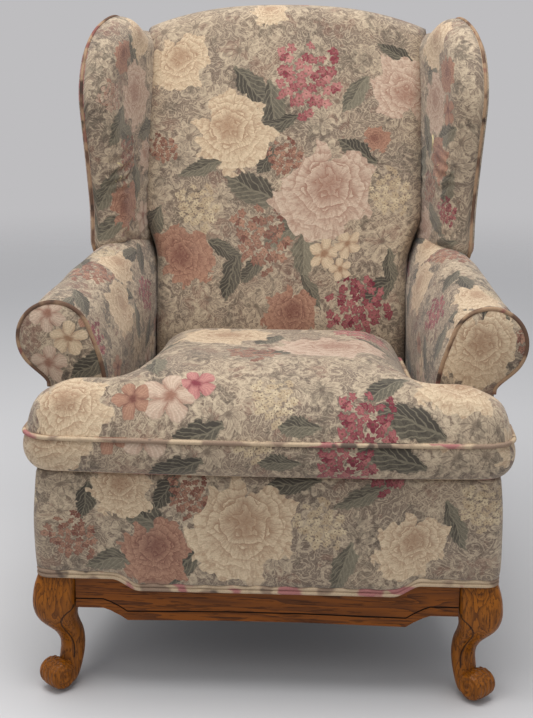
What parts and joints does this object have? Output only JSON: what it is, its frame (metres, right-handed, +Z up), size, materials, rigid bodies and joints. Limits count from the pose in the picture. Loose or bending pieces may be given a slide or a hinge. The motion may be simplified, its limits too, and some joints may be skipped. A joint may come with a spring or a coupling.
{
  "type": "wing chair",
  "caption": "Wing-back armchair with rolled arms, loose T cushion, show-wood apron with double welt, and cabriole front legs with scroll feet.",
  "frame": {"origin": "on the floor under the middle of the chair's bounding box", "axes": "+Z up, +X to the right seen from the front, the front of the chair faces -Y"},
  "size_m": [0.7984, 0.8523, 1.07],
  "materials": {
    "show_wood": "satin medium oak stain, open grain",
    "stained_wood": "satin medium oak stain",
    "frame_wood": "unfinished hardwood, sawn",
    "plywood": "unfinished plywood",
    "glide_plastic": "matte",
    "spring_steel": "oiled wire",
    "burlap": "coarse jute weave",
    "cambric": "thin non-woven",
    "foam": "matte open-cell foam",
    "floral_fabric": "printed upholstery weave with cabbage roses",
    "deck_cloth": "plain heavy lining cloth",
    "welt_cord": "bias-cut printed fabric over cord",
    "zipper_tape": "woven tape with moulded teeth",
    "zipper_metal": "aged"
  },
  "bodies": {
    "chair": {"arm_board_left": "frame_wood", "arm_board_right": "frame_wood", "arm_face_board_left": "plywood", "arm_face_board_right": "plywood", "arm_facing_left": "floral_fabric", "arm_facing_right": "floral_fabric", "arm_facing_welt_left": "welt_cord", "arm_facing_welt_right": "welt_cord", "arm_foam_left": "foam", "arm_foam_right": "foam", "arm_stump_left": "frame_wood", "arm_stump_right": "frame_wood", "back_crest_rail": "frame_wood", "back_foam": "foam", "back_lower_rail": "frame_wood", "back_post_left": "stained_wood", "back_post_right": "stained_wood", "back_springs": "spring_steel", "border_return_left": "floral_fabric", "border_return_right": "floral_fabric", "corner_blocks": "frame_wood", "deck_burlap": "burlap", "deck_cover": "deck_cloth", "deck_pad": "foam", "double_welt": "welt_cord", "dust_cover": "cambric", "floor_glides": "glide_plastic", "front_border_cover": "floral_fabric", "front_edge_roll": "foam", "front_leg_left": "show_wood", "front_leg_right": "show_wood", "front_rail": "show_wood", "inside_arm_cover_left": "floral_fabric", "inside_arm_cover_right": "floral_fabric", "inside_back_cover": "floral_fabric", "inside_wing_cover_left": "floral_fabric", "inside_wing_cover_right": "floral_fabric", "outside_arm_panel_left": "floral_fabric", "outside_arm_panel_right": "floral_fabric", "outside_back_cover": "floral_fabric", "outside_back_welt": "welt_cord", "outside_wing_cover_left": "floral_fabric", "outside_wing_cover_right": "floral_fabric", "rear_rail": "frame_wood", "seat_springs": "spring_steel", "side_rail_left": "frame_wood", "side_rail_right": "frame_wood", "spring_clips": "spring_steel", "wing_board_left": "plywood", "wing_board_right": "plywood", "wing_foam_left": "foam", "wing_foam_right": "foam", "wing_welt_left": "welt_cord", "wing_welt_right": "welt_cord"},
    "seat_cushion": {"cushion_cover": "floral_fabric", "cushion_foam": "foam", "cushion_top_welt": "welt_cord", "cushion_bottom_welt": "welt_cord", "zipper_tape": "zipper_tape"},
    "slider": {"zipper_slider": "zipper_metal"}
  },
  "joints": [
    {"name": "cushion_lift", "type": "slide", "parent": "chair", "child": "seat_cushion", "axis": [0, 0, 1], "range_m": [0, 0.3]},
    {"name": "zipper_travel", "type": "slide", "parent": "seat_cushion", "child": "slider", "axis": [1, 0, 0], "range_m": [-0.14, 0.14]}
  ]
}
